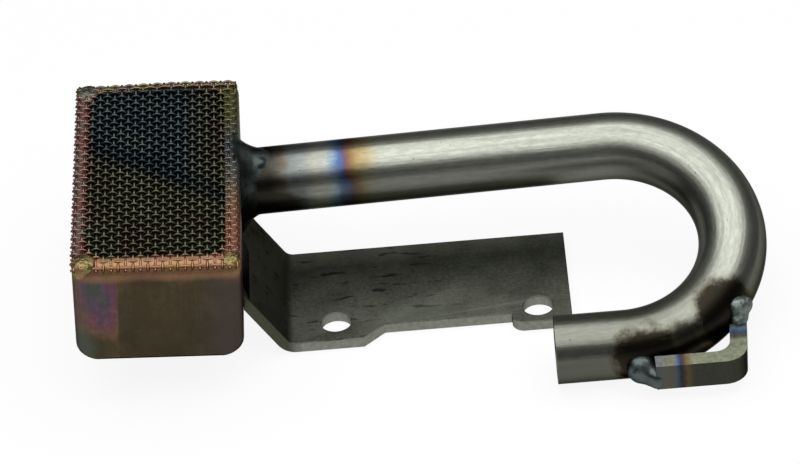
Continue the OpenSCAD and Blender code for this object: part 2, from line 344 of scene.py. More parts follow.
# %% [markdown]
# ## Hot rim
# The cloth was fixed to the rim with heat, which has turned the plating there pink on
# the left, copper at the front, grey to gold on the right and mixed at the back. Each
# side has its own ramp of colours, and soft steps lead from one side to the next. The
# sheet and the wires both use it, so it is a function that gives a colour and a mask.

# %% Colour the hot rim
RIM = {
    "left": ((0.30, (0.17, 0.15, 0.12)), (0.45, (0.23, 0.155, 0.125)),
             (0.60, (0.22, 0.11, 0.09)), (0.72, (0.26, 0.16, 0.09))),
    "right": ((0.05, (0.12, 0.12, 0.055)), (0.25, (0.11, 0.12, 0.125)),
              (0.55, (0.16, 0.15, 0.125)), (0.75, (0.26, 0.175, 0.105)),
              (0.92, (0.31, 0.155, 0.105))),
    "back": ((0.32, (0.09, 0.07, 0.045)), (0.46, (0.20, 0.125, 0.10)),
             (0.58, (0.19, 0.17, 0.07)), (0.70, (0.12, 0.09, 0.07))),
    "front": ((0.30, (0.22, 0.155, 0.065)), (0.44, (0.30, 0.17, 0.085)),
              (0.58, (0.28, 0.14, 0.09)), (0.70, (0.36, 0.235, 0.115))),
}


def rim_colour(place, x, y):
    """The colours of the hot rim, and a mask of it."""
    inner, outer, mask_r = 2.0, 0.6, 6.5
    drift = noise(place, 0.16, 4.0, 0.6)
    shift = swing(place, 2.4, 0.25, 2.0)
    xs, ys = plus(x, shift), plus(y, shift)
    right = ramp(step(ys, 38.0, -40.0), RIM["right"])
    on_right = step(xs, opening["x1"] - inner, opening["x1"] + outer)
    on_back = step(ys, opening["y1"] - inner, opening["y1"] + outer)
    on_front = step(ys, opening["y0"] + inner, opening["y0"] - outer)
    colour = blend(on_right, ramp(drift, RIM["left"]), right)
    colour = blend(on_back, colour, ramp(drift, RIM["back"]))
    colour = blend(on_front, colour, ramp(drift, RIM["front"]))
    return colour, step(past_mouth(xs, ys, mask_r), -0.6, 0.6)


print("rim colours for", ", ".join(RIM))

# %% [markdown]
# ## Plating
# The box is steel sheet with a thin yellow plating. Such a film shows interference
# colours: brown, copper, purple, teal and gold follow each other as the film gets
# thicker. Each could be painted as a patch, but then the edges between them look wrong.
# So one value, the film, drives one ramp of colours. It is a smooth function of the
# place on the box with a little noise: thicker left of a seam, thickest in a slanted
# band there. Dark streaks, blotches and two soft casts go over it.

# %% Make the plating
FILM = (
    (0.00, (0.034, 0.025, 0.017)), (0.20, (0.058, 0.045, 0.025)), (0.34, (0.078, 0.058, 0.030)),
    (0.44, (0.165, 0.090, 0.060)), (0.54, (0.165, 0.075, 0.082)), (0.64, (0.120, 0.068, 0.110)),
    (0.74, (0.080, 0.086, 0.084)), (0.84, (0.075, 0.090, 0.050)), (0.94, (0.165, 0.130, 0.040)),
)
STREAK, BLOTCH = (0.030, 0.024, 0.020), (0.040, 0.034, 0.022)
TEAL_CAST, PURPLE_CAST = (0.070, 0.082, 0.066), (0.066, 0.054, 0.054)
plated_sheet, tree = empty_material("plated_sheet")
place, (x, y, z) = in_box(tree)
wander = swing(place, 0.42, 0.11, 4.0, 0.55)
seam = times(step(x, -10.6, -11.6, 0.0, 0.22), step(z, 3.0, 14.0, 0.45, 1.0))
height = step(z, 2.0, 25.0, -0.08, 0.06)
right_top = times(step(x, 8.0, 22.0), step(z, 22.0, 27.5, 0.0, 0.14))
band = plus(plus(x, 11.7), times(plus(z, wander), 0.25))
bloom = times(step(sums("ABSOLUTE", band), 5.5, 0.5, 0.0, 0.20), step(z, 2.0, 20.0, 0.4, 1.0))
film = plus(wander, 0.24)
for layer in (seam, bloom, height, right_top):
    film = plus(film, layer)
streaks = noise(stretched(place, (1.1, 1.1, 0.05)), 1.0, 5.0, 0.6)
blotches = noise(place, 0.5, 4.0, 0.6)
grain = noise(place, 2.4, 5.0, 0.6)
colour = ramp(film, FILM)
colour = blend(step(streaks, 0.40, 0.75, 0.0, 0.25), colour, STREAK)
colour = blend(step(blotches, 0.42, 0.64, 0.30, 0.0), colour, BLOTCH)
loose_x = plus(x, times(wander, 16.0))
low = step(plus(z, times(wander, 20.0)), 16.0, 5.0, 0.35, 0.85)
low_left = times(step(loose_x, -16.5, -21.0), low)
colour = blend(low_left, colour, TEAL_CAST)
colour = blend(step(loose_x, 9.0, 18.0, 0.0, 0.5), colour, PURPLE_CAST)
hot, on_rim = rim_colour(place, x, y)
near_top = step(plus(z, times(wander, 6.0)), 25.6, 28.8)
colour = blend(times(on_rim, near_top), colour, hot)
metal(colour, step(grain, 0.2, 0.8, 0.34, 0.50), plus(grain, streaks), 0.00006, metallic=0.9)
print("plating has", len(tree.nodes), "nodes")

# %% [markdown]
# ## Strainer box
# The box is folded from sheet: round lower edges along the two long sides, round
# upright corners, and a rim turned over at the top with the wire cloth pressed flat on
# it. It could be a cube with bevels, but its top edges have different radii. So a
# rounded plan is drawn once and pulled up level by level, and at each level the sides
# are drawn in by their own round edges. The rim stands up by about a wire, so the cloth
# looks sunk into it.

# %% Define the levels of the box
corner_r, fold_r, floor_rise, wall = 3.0, 4.2, 0.5, 1.2
top_z = box_h + 0.9
edge_in = {"left": 1.5, "right": 2.0, "front": 4.2, "back": 1.5}
edge_up = {"left": 2.0, "right": 2.6, "front": 5.1, "back": 2.0}


def held(share):
    """Holds a share between 0 and 1."""
    return min(max(share, 0.0), 1.0)


def drawn_in(across, up, over):
    """How far a round edge has come in when the height is over into it."""
    share = held(over / up)
    return across * (1 - math.sqrt(1 - share * share))


def level_sides(z):
    """The four sides of the box at a height: round folds below, round edges above."""
    fold = drawn_in(fold_r, fold_r, fold_r - z)
    edge = {side: drawn_in(edge_in[side], edge_up[side], z - top_z + edge_up[side])
            for side in edge_in}
    return (-half_w + fold + edge["left"], half_w - fold - edge["right"],
            -half_d + edge["front"], half_d - edge["back"])


def to_level(verts, plan, z):
    """Moves points of the plan to a height, with the sides where that level has them."""
    left, right, front, back = level_sides(z)
    for vert in verts:
        share_x, share_y = vert[plan].x / box_w + 0.5, vert[plan].y / box_d + 0.5
        vert.co = (left + share_x * (right - left), front + share_y * (back - front), z)


print("sides at half height:", [round(side, 2) for side in level_sides(box_h / 2)])

# %% [markdown]
# The plan is one face with round corners. Two cuts on either side mark where the floor
# ends and the folds begin, so that the floor can stand a little higher than they do, as
# it does in pressed sheet. Then its outline is extruded once for each level.

# %% Draw the outside of the box
floor_half, fold_half = 16.5, 18.6


def rounded_plan(bm, width, depth, radius, segments, middle=(0.0, 0.0)):
    """One flat face with four round corners."""
    grid = bmesh.ops.create_grid(bm, x_segments=1, y_segments=1, size=0.5)
    bmesh.ops.scale(bm, vec=(width, depth, 1), verts=grid["verts"])
    bmesh.ops.translate(bm, vec=(*middle, 0), verts=grid["verts"])
    bmesh.ops.bevel(bm, geom=grid["verts"], offset=radius, affect="VERTICES", segments=segments,
                    profile=0.5, material=-1)


def pulled(bm, edges):
    """Extrudes a loop of edges, and gives the new points and the new loop."""
    made = bmesh.ops.extrude_edge_only(bm, edges=edges)["geom"]
    verts = [g for g in made if isinstance(g, bmesh.types.BMVert)]
    return verts, [g for g in made if isinstance(g, bmesh.types.BMEdge) and g.is_boundary]


bm = bmesh.new()
rounded_plan(bm, box_w, box_d, corner_r, 6)
for fold_line in (-fold_half, -floor_half, floor_half, fold_half):
    bmesh.ops.bisect_plane(bm, geom=bm.verts[:] + bm.edges[:] + bm.faces[:],
                           plane_co=(fold_line, 0, 0), plane_no=(1, 0, 0))
plan = bm.verts.layers.float_vector.new("plan")
for vert in bm.verts:
    vert[plan] = vert.co
base = bm.verts[:]
ring = [e for e in bm.edges if e.is_boundary]
levels = [fold_r * (1 - math.cos(math.radians(a))) for a in range(15, 91, 15)]
levels += [top_z - edge_up["front"] * (1 - math.sin(math.radians(a)))
           for a in (0, 15, 30, 42, 52, 60, 68, 75, 82, 90)]
to_level(base, plan, 0.0)
for level in levels:
    fresh, ring = pulled(bm, ring)
    to_level(fresh, plan, level)
for vert in base:
    if abs(vert.co.x) < floor_half + 0.1:
        vert.co.z += floor_rise
print("box sides:", len(bm.faces), "faces up to", round(top_z, 2), "mm")

# %% [markdown]
# The opening is a second rounded outline inside the rim. A bridge joins the two loops,
# and from the opening the sheet goes down by its thickness, out to the inner wall and
# down to the inner floor, so the box is a closed shell that one can look into. High up
# at the front the inner wall is set back, because the round edge takes that room.

# %% Cut the opening and line the inside
mouth_r, mouth_drop = 4.0, 0.35
long_side, short_side = 12, 30  # points further out than these belong to a wall
front_room, front_low = 3.4, 20
sides = set(bm.faces)
rounded_plan(bm, opening["x1"] - opening["x0"], opening["y1"] - opening["y0"], mouth_r, 6,
             ((opening["x0"] + opening["x1"]) / 2, (opening["y0"] + opening["y1"]) / 2))
hole = [f for f in bm.faces if f not in sides]
mouth = [e for f in hole for e in f.edges]
bmesh.ops.translate(bm, vec=(0, 0, top_z - mouth_drop),
                    verts=list({v for e in mouth for v in e.verts}))
bmesh.ops.delete(bm, geom=hole, context="FACES_ONLY")
bmesh.ops.bridge_loops(bm, edges=ring + mouth)
for level, lining in ((box_h - wall, False), (box_h - wall - 0.4, True), (wall + 0.6, True)):
    fresh, mouth = pulled(bm, mouth)
    for vert in fresh:
        vert.co.z = level
        if lining and abs(vert.co.x) > long_side:
            vert.co.x = math.copysign(half_w - wall, vert.co.x)
        if lining and abs(vert.co.y) > short_side:
            spare = front_room if vert.co.y < 0 and level > front_low else 0
            vert.co.y = math.copysign(half_d - wall - spare, vert.co.y)
bmesh.ops.contextual_create(bm, geom=mouth)
bm.verts.layers.float_vector.remove(plan)
bmesh.ops.remove_doubles(bm, verts=bm.verts, dist=0.0005)
bmesh.ops.recalc_face_normals(bm, faces=bm.faces)
bmesh.ops.transform(bm, matrix=box_place, verts=bm.verts)
hand_over("strainer_shell", bm, [plated_sheet], ["strainer_box"], sharp=35)

# %% [markdown]
# ## Wire cloth
# The screen is plain weave: each wire goes over one neighbour and under the next. A
# picture of a weave would look flat from the side, and the photo shows round crowns, so
# every wire is modelled. First the cloth is laid out as two lines, one across and one
# along. Each is flat with round ends that follow the edges of the box, and at the front
# the cloth turns down over the round edge.

# %% Lay out the weave
wire_r, cloth_up, jitter = 0.42, 0.52, 0.06
CROSSWISE, LENGTHWISE = 0.50, 0.34  # how high the wires wave
press_from, press_over, press_flat, press_up = -0.6, 1.4, 0.52, 0.06  # on the rim
pitch_across, pitch_along = 2.02, 1.87


def turned_line(length, low, high, low_r, high_r, skip):
    """A place along a line that is flat between two round ends: where it is, how far it
    has fallen and its tilt. The line starts when skip of the low end's arc has gone by."""
    s = length + skip
    low_arc = low_r * math.pi / 2
    flat = high - low - low_r - high_r
    if s < low_arc:
        a = s / low_r
        return low + low_r * (1 - math.cos(a)), low_r * (1 - math.sin(a)), math.pi / 2 - a
    s -= low_arc
    if s < flat:
        return low + low_r + s, 0.0, 0.0
    a = (s - flat) / high_r
    return high - high_r + high_r * math.sin(a), high_r * (1 - math.cos(a)), -a


def line_length(line):
    arcs = (line["low_r"] + line["high_r"]) * math.pi / 2
    flat = line["high"] - line["low"] - line["low_r"] - line["high_r"]
    return arcs + flat - line["skip"]


front_r = edge_in["front"] + cloth_up
across = dict(low=-half_w - 0.5, high=half_w - 0.75, low_r=1.5, high_r=1.2,
              skip=1.5 * math.radians(40))
along = dict(low=-half_d - cloth_up, high=half_d - 0.15, low_r=front_r, high_r=1.2,
             skip=front_r * math.radians(42))
columns = round(line_length(across) / pitch_across)
rows = round(line_length(along) / pitch_along)
print("weave:", columns, "wires front to back,", rows, "wires across")

# %% [markdown]
# A wire starts as a flat strip, which is rolled into a tube around a waving line. The
# wires across wave most. On the rim the cloth has been pressed, so the waves are lower
# there, and at the back right it has sprung up a little. A curve with a round bevel would
# be quicker to write, but rolled strips let the same function bend every wire by place.

# %% Roll the wires
def past_opening(x, y):
    """Distance of a place outside the opening with its round corners, below zero inside."""
    dx = max(opening["x0"] - x, x - opening["x1"]) + mouth_r
    dy = max(opening["y0"] - y, y - opening["y1"]) + mouth_r
    return math.hypot(max(dx, 0), max(dy, 0)) + min(max(dx, dy), 0) - mouth_r


def lifted(x, y, most=0.7):
    """How far the cloth has sprung up at the back, more on the right than on the left."""
    rise, right = held((y - half_d + 6) / 4.5), held((x + 16) / 20)
    return most * rise * rise * (3 - 2 * rise) * right


def rolled_wires(run, cross, count, crossings, height, crosswise):
    """Wires that run along one line of the cloth and stand side by side on the other."""
    bm = bmesh.new()
    length, spread = line_length(run), line_length(cross)
    pitch = length / crossings
    for i in range(count):
        strip = bmesh.ops.create_grid(bm, x_segments=6, y_segments=crossings * 5, size=0.5)
        beside, beside_fall, beside_tilt = turned_line((i + 0.5) * spread / count, **cross)
        beside += random.uniform(-jitter, jitter)
        side = Vector((math.cos(beside_tilt), 0, math.sin(beside_tilt)))
        for vert in strip["verts"]:
            around, s = (vert.co.x + 0.5) * 2 * math.pi, (vert.co.y + 0.5) * length
            ahead_at, fall, tilt = turned_line(s, **run)
            on_box = (ahead_at, beside) if crosswise else (beside, ahead_at)
            pressed = held((past_opening(*on_box) - press_from) / press_over)
            wave = height * (1 - press_flat * pressed) * (-1 if crosswise else 1)
            phase = math.pi * (s / pitch - 0.5 + i)
            up = Vector((-math.sin(beside_tilt), -math.sin(tilt),
                         math.cos(tilt) * math.cos(beside_tilt))).normalized()
            slope = wave * math.pi / pitch * math.sin(phase)
            ahead = Vector((0, math.cos(tilt), math.sin(tilt))) - up * slope
            out = side.cross(ahead).normalized()
            level = (box_h + cloth_up + press_up * pressed + lifted(*on_box)
                     - fall - beside_fall)
            spot = Vector((beside, ahead_at, level)) + up * wave * math.cos(phase)
            spot += wire_r * (math.cos(around) * side + math.sin(around) * out)
            vert.co = (spot.y, spot.x, spot.z) if crosswise else spot
    bmesh.ops.remove_doubles(bm, verts=bm.verts, dist=0.001)
    bmesh.ops.holes_fill(bm, edges=[e for e in bm.edges if e.is_boundary], sides=8)
    bmesh.ops.recalc_face_normals(bm, faces=bm.faces)
    bmesh.ops.transform(bm, matrix=box_place, verts=bm.verts)
    return bm


wires_along = rolled_wires(along, across, columns, rows, LENGTHWISE, False)
wires_across = rolled_wires(across, along, rows, columns, CROSSWISE, True)
print("wires rolled:", len(wires_along.faces) + len(wires_across.faces), "faces")

# %% [markdown]
# The wires are plated too. In the middle they are olive, and blue towards the back
# left, with a dark blue stripe where the two meet. That border runs slantwise, so the
# nodes read one slanted coordinate. On the rim the wires take the colours of the rim.

# %% Plate the wires
OLIVE = ((0.32, (0.092, 0.076, 0.052)), (0.48, (0.086, 0.086, 0.052)),
         (0.66, (0.108, 0.110, 0.068)))
BLUE = ((0.35, (0.042, 0.062, 0.076)), (0.60, (0.068, 0.092, 0.090)))
STRIPE = (0.022, 0.034, 0.044)
plated_wire, tree = empty_material("plated_wire")
place, (x, y, _) = in_box(tree)
drift = noise(place, 0.07)
slant = plus(times(x, 0.56), times(y, 0.83))
cold = times(step(slant, -5.0, 3.0), step(x, 17.0, 5.0))
colour = blend(cold, ramp(drift, OLIVE), ramp(drift, BLUE))
off_border = sums("ABSOLUTE", minus(slant, 1.0))
colour = blend(step(off_border, 7.0, 1.0, 0.0, 0.6), colour, STRIPE)
hot, on_rim = rim_colour(place, x, y)
colour = blend(on_rim, colour, hot)
specks = noise(place, 2.2)
metal(colour, step(specks, 0.3, 0.7, 0.30, 0.44), specks, 0.00003)
hand_over("wires_along", wires_along, [plated_wire], ["screen"], sharp=80)
hand_over("wires_across", wires_across, [plated_wire], ["screen"], sharp=80)

# %% [markdown]
# ## Melted lumps
# At the corners of the rim, and later at the lug, metal has been melted into smooth
# lumps. Sculpting would do, but can't be repeated by a script. Here a lump is a few
# overlapping balls, each with a slow swell so that it doesn't look turned. A voxel remesh
# melts them into one skin, and smoothing takes the creases out.

# %% Define lumps that melt together
LUMP_GRAIN, SMOOTH_PASSES = 0.28, 36


def drop(bm, spot, radii, turn_z, bulge):
    """A ball pulled to three radii, turned about the upright, with a slow uneven swell."""
    ball = bmesh.ops.create_icosphere(bm, subdivisions=4, radius=1.0)["verts"]
    for vert in ball:
        wave = math.sin(3.1 * vert.co.x + 1.3) * math.cos(2.3 * vert.co.z - vert.co.y)
        vert.co *= 1 + bulge * wave
    bmesh.ops.scale(bm, vec=radii, verts=ball)
    bmesh.ops.rotate(bm, cent=(0, 0, 0), verts=ball,
                     matrix=Matrix.Rotation(math.radians(turn_z), 3, "Z"))
    bmesh.ops.translate(bm, vec=spot, verts=ball)


def melted(name, drops):
    """Melts drops, given in millimetres, into one smooth skin in metres."""
    bm = bmesh.new()
    for spot, radii, turn_z, bulge in drops:
        drop(bm, spot, radii, turn_z, bulge)
    bmesh.ops.transform(bm, matrix=Matrix.Scale(MM, 4), verts=bm.verts)
    mesh = bpy.data.meshes.new(name)
    bm.to_mesh(mesh)
    bm.free()
    lumps = bpy.data.objects.new(name, mesh)
    bpy.context.scene.collection.objects.link(lumps)
    skin = lumps.modifiers.new("skin", "REMESH")
    skin.mode, skin.voxel_size = "VOXEL", LUMP_GRAIN * MM
    whole = bmesh.new()
    whole.from_object(lumps, bpy.context.evaluated_depsgraph_get())
    bpy.data.objects.remove(lumps)
    bpy.data.meshes.remove(mesh)
    for _ in range(SMOOTH_PASSES):
        bmesh.ops.smooth_vert(whole, verts=whole.verts, factor=0.5, use_axis_x=True,
                              use_axis_y=True, use_axis_z=True)
    return whole


print("lumps melt at a grain of", LUMP_GRAIN, "mm")

# %% [markdown]
# Three corners of the rim carry such a lump: gold at the front, grey green at the back.
# The drops are placed in the frame of the box, half sunk into the rim.

# %% Set the corner lumps
FRONT_LUMP = ((0.30, (0.10, 0.088, 0.022)), (0.48, (0.24, 0.20, 0.085)),
              (0.64, (0.29, 0.17, 0.09)))
BACK_LUMP = ((0.30, (0.09, 0.11, 0.095)), (0.50, (0.17, 0.18, 0.15)),
             (0.68, (0.19, 0.14, 0.11)))
lump_plating, tree = empty_material("lump_plating")
place, (_, y, _) = in_box(tree)
patches = noise(place, 0.35, 4.0, 0.6)
colour = blend(step(y, -5.0, 5.0), ramp(patches, FRONT_LUMP), ramp(patches, BACK_LUMP))
metal(colour, step(patches, 0.3, 0.7, 0.30, 0.46), noise(place, 0.9, 4.0), 0.0006)

bm = melted("corner_lumps", (
    ((-half_w + 3.4, -half_d + 3.6, top_z - 1.2), (4.2, 3.6, 2.0), 25, 0.10),
    ((-half_w + 2.2, -half_d + 2.0, top_z - 2.6), (2.4, 2.2, 2.6), 0, 0.12),
    ((-half_w + 3.0, half_d - 3.4, top_z - 0.9), (3.8, 4.2, 1.4), -10, 0.08),
    ((half_w - 3.0, -half_d + 4.0, top_z - 1.3), (3.2, 3.4, 1.7), -20, 0.08),
))
bmesh.ops.transform(bm, matrix=box_place @ Matrix.Scale(1 / MM, 4), verts=bm.verts)
hand_over("corner_lumps", bm, [lump_plating], sharp=80)

# %% [markdown]
# ## Bare tube with heat tints
# The tube is drawn steel, left bare. Its scuffs run lengthwise, also round the bend, so
# the finish needs to know where along the tube and where around it each point lies. The
# mesh carries that as an attribute: the place that the point would have if the tube were
# straightened. Near the box the steel has been hot, and each temperature has left its
# tint: brown, silver, straw, deep blue, purple, gold. The stub is darker, both flanks of
# the bend are darkened as painted shade, and the steep and lower sides carry painted shade.

# %% Tint the bare steel
TINTS = (
    (0.00, (0.05, 0.045, 0.04)), (0.21, (0.06, 0.055, 0.05)), (0.245, (0.10, 0.075, 0.055)),
    (0.28, (0.15, 0.165, 0.165)), (0.38, (0.20, 0.22, 0.215)), (0.46, (0.31, 0.31, 0.26)),
    (0.535, (0.30, 0.32, 0.30)), (0.58, (0.18, 0.26, 0.32)), (0.632, (0.045, 0.10, 0.25)),
    (0.67, (0.09, 0.05, 0.09)), (0.695, (0.15, 0.075, 0.04)), (0.735, (0.23, 0.145, 0.05)),
    (0.785, (0.31, 0.255, 0.13)), (0.835, (0.34, 0.33, 0.25)), (0.90, (0.345, 0.36, 0.31)),
)
TINT_START, TINT_LENGTH = 0.0024, 0.042
STUB_GREY, FLANK_SHADE, LOW_SIDE_SHADE = (0.08, 0.085, 0.062), (0.05, 0.052, 0.042), (0.035, 0.037, 0.029)
bare_steel, tree = empty_material("bare_steel")
straight = joined(tree, "ShaderNodeAttribute", attribute_name="straightened").outputs["Vector"]
outward, upper, along_tube = split(straight)
ragged = swing(straight, 0.006, 160.0)
from_box = plus(minus(along_tube, TINT_START), ragged)
colour = ramp(sums("DIVIDE", from_box, TINT_LENGTH), TINTS)
colour = blend(step(along_tube, 0.165, 0.205, 0.0, 0.60), colour, STUB_GREY)
in_bend = times(step(along_tube, 0.100, 0.120), step(along_tube, 0.212, 0.195))
# Painted shade: both flanks of the bend are darkened.
flank_shade_mask = step(sums("ABSOLUTE", outward), 0.0045, 0.0085, 0.0, 0.65)
colour = blend(times(flank_shade_mask, in_bend), colour, FLANK_SHADE)
# Painted shade: the steep and lower sides of the tube are darkened, less where the steel is
# blued.
upward = split(joined(tree, "ShaderNodeNewGeometry").outputs["Normal"])[2]
blued = times(step(along_tube, 0.017, 0.020), step(along_tube, 0.029, 0.027))
low_side_shade_mask = times(step(upward, 0.50, 0.10, 0.0, 0.61), step(blued, 0.0, 1.0, 1.0, 0.45))
colour = blend(low_side_shade_mask, colour, LOW_SIDE_SHADE)
print("tints over", TINT_LENGTH / MM, "mm of tube")

# %% [markdown]
# Wear goes over the tints: scuffs and a fine grain, both pulled long, and a few pits.
# Soot covers the end at the box, further along on the lower side. Round the lug's welds
# the steel is burnt, gold at the edge and nearly black inside. A burnt zone is a distance
# from a spot with a ragged edge, which drives a ramp, so it lies on the tube like a stain.

# %% Wear and burn the bare steel
BURNT = ((0.0, (0.20, 0.18, 0.115)), (0.20, (0.062, 0.049, 0.025)),
         (0.42, (0.024, 0.020, 0.013)), (0.8, (0.018, 0.016, 0.012)))
BURNS = (  # spot and reach in millimetres, strength
    ((69.0, -34.4, 9.0), 11.0, 0.85),
    ((56.0, -37.8, 10.5), 11.2, 1.0),
    ((80.5, -27.0, 15.5), 12.5, 1.0),
)
SCUFF, GRAIN, PIT = (0.13, 0.13, 0.11), (0.09, 0.09, 0.075), (0.05, 0.048, 0.04)
SOOT = (0.022, 0.020, 0.015)


def burnt_zone(place, spot, reach):
    """Goes evenly from 1 near a welded spot to 0 at its reach, with a ragged edge."""
    gap = joined(place.id_data, "ShaderNodeVectorMath", operation="DISTANCE", in_0=place,
                 in_1=[c * MM for c in spot])
    near = plus(gap.outputs["Value"], swing(place, 0.010, 140.0, 6.0, 0.7))
    return joined(place.id_data, "ShaderNodeMapRange", in_0=near, in_1=reach * MM,
                  in_2=reach * 0.3 * MM).outputs[0]


scuffs = noise(stretched(straight, (900, 900, 26)), 1.0, 5.0, 0.65)
grain = noise(stretched(straight, (1300, 1300, 380)), 1.0, 4.0, 0.7)
pits = step(noise(straight, 900.0, 2.0), 0.27, 0.21)
colour = blend(step(scuffs, 0.30, 0.62, 0.35, 0.0), colour, SCUFF)
colour = blend(step(grain, 0.38, 0.62, 0.24, 0.0), colour, GRAIN)
colour = blend(times(pits, 0.6), colour, PIT)
soot_end = step(upper, 0.006, 0.002, 0.0105, 0.0170)
past_soot = plus(minus(along_tube, soot_end), ragged)
colour = blend(step(past_soot, 0.0025, -0.0025, 0.0, 0.90), colour, SOOT)
place = place_of(tree)
for spot, reach, strength in BURNS:
    burn = burnt_zone(place, spot, reach)
    colour = blend(step(burn, 0.0, 0.5, 0.0, strength), colour, ramp(burn, BURNT))
relief = plus(minus(scuffs, pits), times(grain, 0.5))
metal(colour, step(scuffs, 0.25, 0.75, 0.38, 0.29), relief, 0.00004)
print("bare steel has", len(tree.nodes), "nodes")

# %% [markdown]
# The tube itself is one circle: pulled straight for the stub, spun round the bend and
# pulled straight again for the leg. A curve with a bevel would do as well, but the spin
# gives rings that lie where they are wanted. Solidify then gives it a wall.

# %% Spin the tube
bm = bmesh.new()
ring = bmesh.ops.create_circle(bm, segments=72, radius=tube_r)["verts"]
bmesh.ops.rotate(bm, cent=(0, 0, 0), matrix=Matrix.Rotation(math.radians(90), 3, "Y"), verts=ring)
bmesh.ops.translate(bm, vec=(-stub_len, 0, 0), verts=ring)
fresh, end = pulled(bm, bm.edges[:])
bmesh.ops.translate(bm, vec=(stub_len, 0, 0), verts=fresh)
spun = bmesh.ops.spin(bm, geom=end, cent=(0, bend_r, 0), axis=(0, 0, 1), angle=sweep,
                      steps=84)
end = [g for g in spun["geom_last"] if isinstance(g, bmesh.types.BMEdge)]
fresh, end = pulled(bm, end)
bmesh.ops.translate(bm, vec=leg_way * (leg_len + leg_inside), verts=fresh)
bmesh.ops.remove_doubles(bm, verts=bm.verts, dist=0.001)
bmesh.ops.recalc_face_normals(bm, faces=bm.faces)
bmesh.ops.solidify(bm, geom=bm.faces[:], thickness=tube_wall)
print("tube spun:", len(bm.faces), "faces")

# %% [markdown]
# The attribute is worked out from the flat drawing, before the tube goes to its place. A
# point on the bend, on the stub or on the leg finds its way back to the box along the
# middle line, and how far it lies outwards and upwards from that line.

# %% Straighten each point
straightened = bm.verts.layers.float_vector.new("straightened")
to_outside = Vector((leg_way.y, -leg_way.x, 0))
for vert in bm.verts:
    u, v, w = vert.co
    from_mid = Vector((u, v - bend_r, 0))
    angle = math.atan2(from_mid.x, -from_mid.y) % (2 * math.pi)
    on_stub = u < 0.001 and v < bend_r
    if angle <= sweep and not on_stub:
        offset = from_mid.length - bend_r
        way = leg_len + bend_r * (sweep - angle)
    elif v < bend_r:
        offset, way = -v, leg_len + bend_r * sweep - u
    else:
        gone = (vert.co - bend_end).dot(leg_way)
        offset, way = (vert.co - bend_end - leg_way * gone).dot(to_outside), leg_len - gone
    vert[straightened] = Vector((offset, w, way)) * MM
bmesh.ops.transform(bm, matrix=bend_place, verts=bm.verts)
hand_over("bare_tube", bm, [bare_steel], ["pickup_tube"])

# %% [markdown]
# ## Bracket
# The bracket is cut from rolled plate. Its flat faces keep a dark mill finish with pits
# that are drawn out along the plate, more on the left. Its sheared edges are bright.
# Near the box wall both are darker. Two plain materials on one
# mesh do this better than one that has to guess which face it is on.

# %% Make the mill and sheared finishes
MILL = ((0.30, (0.095, 0.100, 0.080)), (0.50, (0.130, 0.138, 0.110)),
        (0.72, (0.165, 0.172, 0.140)))
SHEARED = ((0.3, (0.15, 0.155, 0.13)), (0.7, (0.27, 0.28, 0.24)))
DRAWN_PIT = (0.025, 0.022, 0.018)
FACE_DARK_BY_BOX, EDGE_DARK_BY_BOX = (0.048, 0.049, 0.038), (0.028, 0.028, 0.012)
mill_scale, tree = empty_material("mill_scale")
place = place_of(tree)
x = split(place)[0]
cloud = noise(place, 90.0, 5.0, 0.6)
fine = noise(place, 900.0, 4.0, 0.6)
long_pits = noise(stretched(place, (110, 420, 300)), 1.0, 4.0, 0.55)
on_left = step(x, 0.012, -0.012, 0.15, 0.8)
colour = blend(times(step(long_pits, 0.57, 0.66), on_left), ramp(cloud, MILL), DRAWN_PIT)
# Darker near the box wall.
colour = blend(step(x, -0.039, -0.043, 0.0, 0.75), colour, FACE_DARK_BY_BOX)
metal(colour, step(fine, 0.3, 0.7, 0.46, 0.60), fine, 0.00005)

sheared, tree = empty_material("sheared_edge")
place = place_of(tree)
x = split(place)[0]
tears = noise(place, 700.0, 4.0, 0.6)
# Darker near the box wall.
colour = blend(step(x, -0.038, -0.043, 0.0, 0.8), ramp(tears, SHEARED), EDGE_DARK_BY_BOX)
metal(colour, step(tears, 0.3, 0.7, 0.34, 0.48), tears, 0.00006)
print("mill and sheared finishes made")

# %% [markdown]
# ## Lug
# The lug is a bent bar with a pale sawn upper face. Both of its ends were welded, and heat
# tints run inwards from each, along a different axis on each arm. One function makes the
# tints for both faces: a lit copy for the upper face and a copy darkened as painted shade
# for the sides, which also differ in how rough they are.

# %% Make the finish of the lug
LONG_ARM = ((0.0, (0.20, 0.23, 0.25)), (0.22, (0.31, 0.33, 0.31)), (0.36, (0.33, 0.31, 0.22)),
            (0.45, (0.24, 0.30, 0.34)), (0.53, (0.06, 0.10, 0.21)), (0.58, (0.17, 0.10, 0.06)),
            (0.65, (0.30, 0.24, 0.12)))
SHORT_ARM = ((0.0, (0.24, 0.27, 0.28)), (0.29, (0.29, 0.34, 0.36)), (0.38, (0.36, 0.30, 0.16)),
             (0.46, (0.33, 0.34, 0.30)), (0.58, (0.17, 0.25, 0.36)), (0.74, (0.08, 0.12, 0.20)),
             (0.86, (0.16, 0.13, 0.09)))
LONG_FROM, LONG_RUN, SHORT_FROM, SHORT_RUN = 0.0570, 0.016, -0.0225, 0.012


